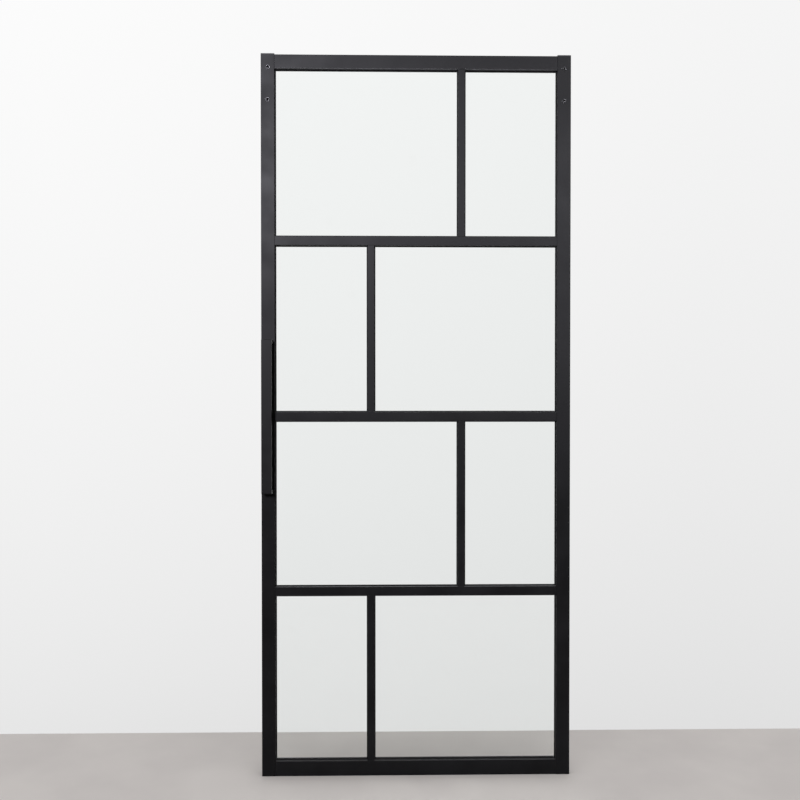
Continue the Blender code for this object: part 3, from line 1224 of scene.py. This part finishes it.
@dataclass(frozen=True)
class Surrounding:
    """A pale backdrop with painted shading, which shows, and a room round it, which only lights the
    surfaces.
    """

    # The backdrop's rise, colours, width and strength paint shading on it: darker low down and towards
    # +X.
    wall_rise: Range = (-0.40, 0.40)
    wall_curve: float = 0.45
    wall_low: Colour = (0.690, 0.690, 0.690)
    wall_high: Colour = (0.945, 0.945, 0.945)
    wall_width: Range = (-0.35, 0.35)
    wall_strength: Range = (1.03, 0.97)
    turn_behind: Range = (-0.10, 0.25)
    mirror_rise: Range = (-0.45, 0.80)
    mirror_curve: float = 1.5
    mirror_low: Colour = (0.02, 0.02, 0.02)
    mirror_high: Colour = (0.65, 0.65, 0.66)
    mirror_behind: Colour = (0.85, 0.85, 0.85)
    glow_before: Colour = (1.08, 1.08, 1.10)
    glow_behind: Colour = (0.30, 0.30, 0.30)

    def build(self) -> None:
        """Makes the world, where each kind of ray sees its own part of the surrounding."""
        world = bpy.data.worlds.new("studio")
        world.use_nodes = True
        world.node_tree.nodes.clear()
        bpy.context.scene.world = world
        web = NodeWeb(world.node_tree)
        direction = web.add("ShaderNodeTexCoord").outputs["Generated"]
        axes = web.add("ShaderNodeSeparateXYZ", {0: direction}).outputs
        ray = web.add("ShaderNodeLightPath").outputs
        # Glass shows the backdrop to the camera, and lets the room's light in to the surfaces behind it.
        unscattered = web.maths("LESS_THAN", ray["Diffuse Depth"], 1.0)
        through_glass = web.maths("MULTIPLY", ray["Is Transmission Ray"], unscattered)
        shows = web.maths("MAXIMUM", ray["Is Camera Ray"], through_glass)
        room = self._room(web, axes, ray["Is Diffuse Ray"])
        backdrop = self._backdrop(web, axes)
        mixed = web.add("ShaderNodeMixShader", {0: shows, 1: room, 2: backdrop}).outputs["Shader"]
        web.add("ShaderNodeOutputWorld", {"Surface": mixed})

    def _backdrop(self, web: NodeWeb, axes: Any) -> bpy.types.NodeSocket:
        """Lays the backdrop's nodes, with painted shading: lighter above than below, and a little
        lighter towards -X.

        Args:
            web: The world's tree.
            axes: The three shares of the view's direction.

        Returns:
            The shader's output.
        """
        rise = web.maths("POWER", web.spread(axes["Z"], self.wall_rise), self.wall_curve)
        wall = web.blend(rise, self.wall_low, self.wall_high)
        # Painted shading: the backdrop dims a little towards +X.
        fall = web.spread(axes["X"], self.wall_width, self.wall_strength)
        return web.add("ShaderNodeBackground", {"Color": wall, "Strength": fall}).outputs["Background"]

    def _room(self, web: NodeWeb, axes: Any, scattered: Any) -> bpy.types.NodeSocket:
        """Lays the nodes of the room, which is one thing to mirrored rays and another to scattered ones.

        Args:
            web: The world's tree.
            axes: The three shares of the ray's direction.
            scattered: Tells whether a ray is scattered.

        Returns:
            The shader's output.
        """
        rise = web.maths("POWER", web.spread(axes["Z"], self.mirror_rise), self.mirror_curve)
        behind = web.spread(axes["Y"], self.turn_behind)
        mirror_before = web.blend(rise, self.mirror_low, self.mirror_high)
        mirror = web.blend(behind, mirror_before, self.mirror_behind)
        glow = web.blend(behind, self.glow_before, self.glow_behind)
        room = web.blend(scattered, mirror, glow)
        return web.add("ShaderNodeBackground", {"Color": room, "Strength": 1.0}).outputs["Background"]


@dataclass
class Studio:
    """A pale floor and surrounding, three lamps, and the photograph's point of view."""

    eye: tuple[float, float, float] = (0.344, -2.565, -0.897)
    turn_deg: float = 1.005
    tilt_deg: float = -0.747
    lens: float = 39.05
    sensor: float = 36.0
    clip: Range = (0.05, 50.0)
    floor_behind: float = 0.335
    floor_before: float = 2.6
    floor_beside: float = 2.0
    floor_thick: float = 0.02
    floor_edge: float = 0.002
    floor_edge_segments: int = 2
    floor_gap: float = 0.0003

    def build(self) -> None:
        """Sets up everything that isn't part of the leaf."""
        self._floor()
        Surrounding().build()
        self._lamps()
        self._camera()

    def _floor(self) -> None:
        """Lays the floor under the leaf, as a thin slab with eased edges."""
        low, high = cad_box
        size = (
            high.x - low.x + 2 * self.floor_beside,
            self.floor_before + self.floor_behind,
            self.floor_thick,
        )
        place = (
            (low.x + high.x) / 2,
            (self.floor_behind - self.floor_before) / 2,
            low.z - self.floor_gap - self.floor_thick / 2,
        )
        bpy.ops.mesh.primitive_cube_add(size=1, location=place, scale=size)
        floor = bpy.context.object
        floor.name = "floor"
        settle(floor, Matrix())
        with editing(floor, "EDGE"):
            bpy.ops.mesh.select_all(action="SELECT")
            bpy.ops.mesh.bevel(offset=self.floor_edge, segments=self.floor_edge_segments, affect="EDGES")
        smooth(floor)
        PALE_FLOOR.dress(floor)

    def _lamps(self) -> None:
        """Hangs two lamps that spare the panes and the floor, and one that lights the top rail alone."""
        centre = sum(cad_box, Vector()) / 2
        spared = [node for name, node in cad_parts.items() if name.endswith("_pane")]
        spared.append(bpy.data.objects["floor"])
        KEY.hang(centre, Reach.ALL_BUT, spared)
        # Light falls off faster down the left stile than down the right one, so the fill spares it too.
        FILL.hang(centre, Reach.ALL_BUT, spared + [bpy.data.objects["left_stile_coated"]])
        BOUNCE.hang(centre, Reach.ONLY, [bpy.data.objects["top_rail_coated"]])

    def _camera(self) -> None:
        """Puts the camera at the photograph's point of view."""
        lens = bpy.data.cameras.new("camera")
        lens.lens = self.lens
        lens.sensor_width = self.sensor
        lens.clip_start, lens.clip_end = self.clip
        camera = bpy.data.objects.new("camera", lens)
        camera.location = self.eye
        tilt = QUARTER_TURN + math.radians(self.tilt_deg)
        camera.rotation_euler = Euler((tilt, 0.0, -math.radians(self.turn_deg)))
        bpy.context.scene.collection.objects.link(camera)
        bpy.context.scene.camera = camera
        bpy.context.scene.view_settings.view_transform = "Standard"


def main() -> None:
    """Builds the sub-assemblies in order, reports their pieces, and sets up the studio."""
    logging.basicConfig(level=logging.INFO, format="%(name)s: %(message)s")
    deselect()
    for part in (CoatedFrame(), StileEnds(), PullHandle(), Glazing(), HangerInserts(), FrameScrews()):
        for piece in part.build():
            log.info("%s, %d faces", piece.name, len(piece.data.polygons))
    Studio().build()


if __name__ == "__main__":
    main()
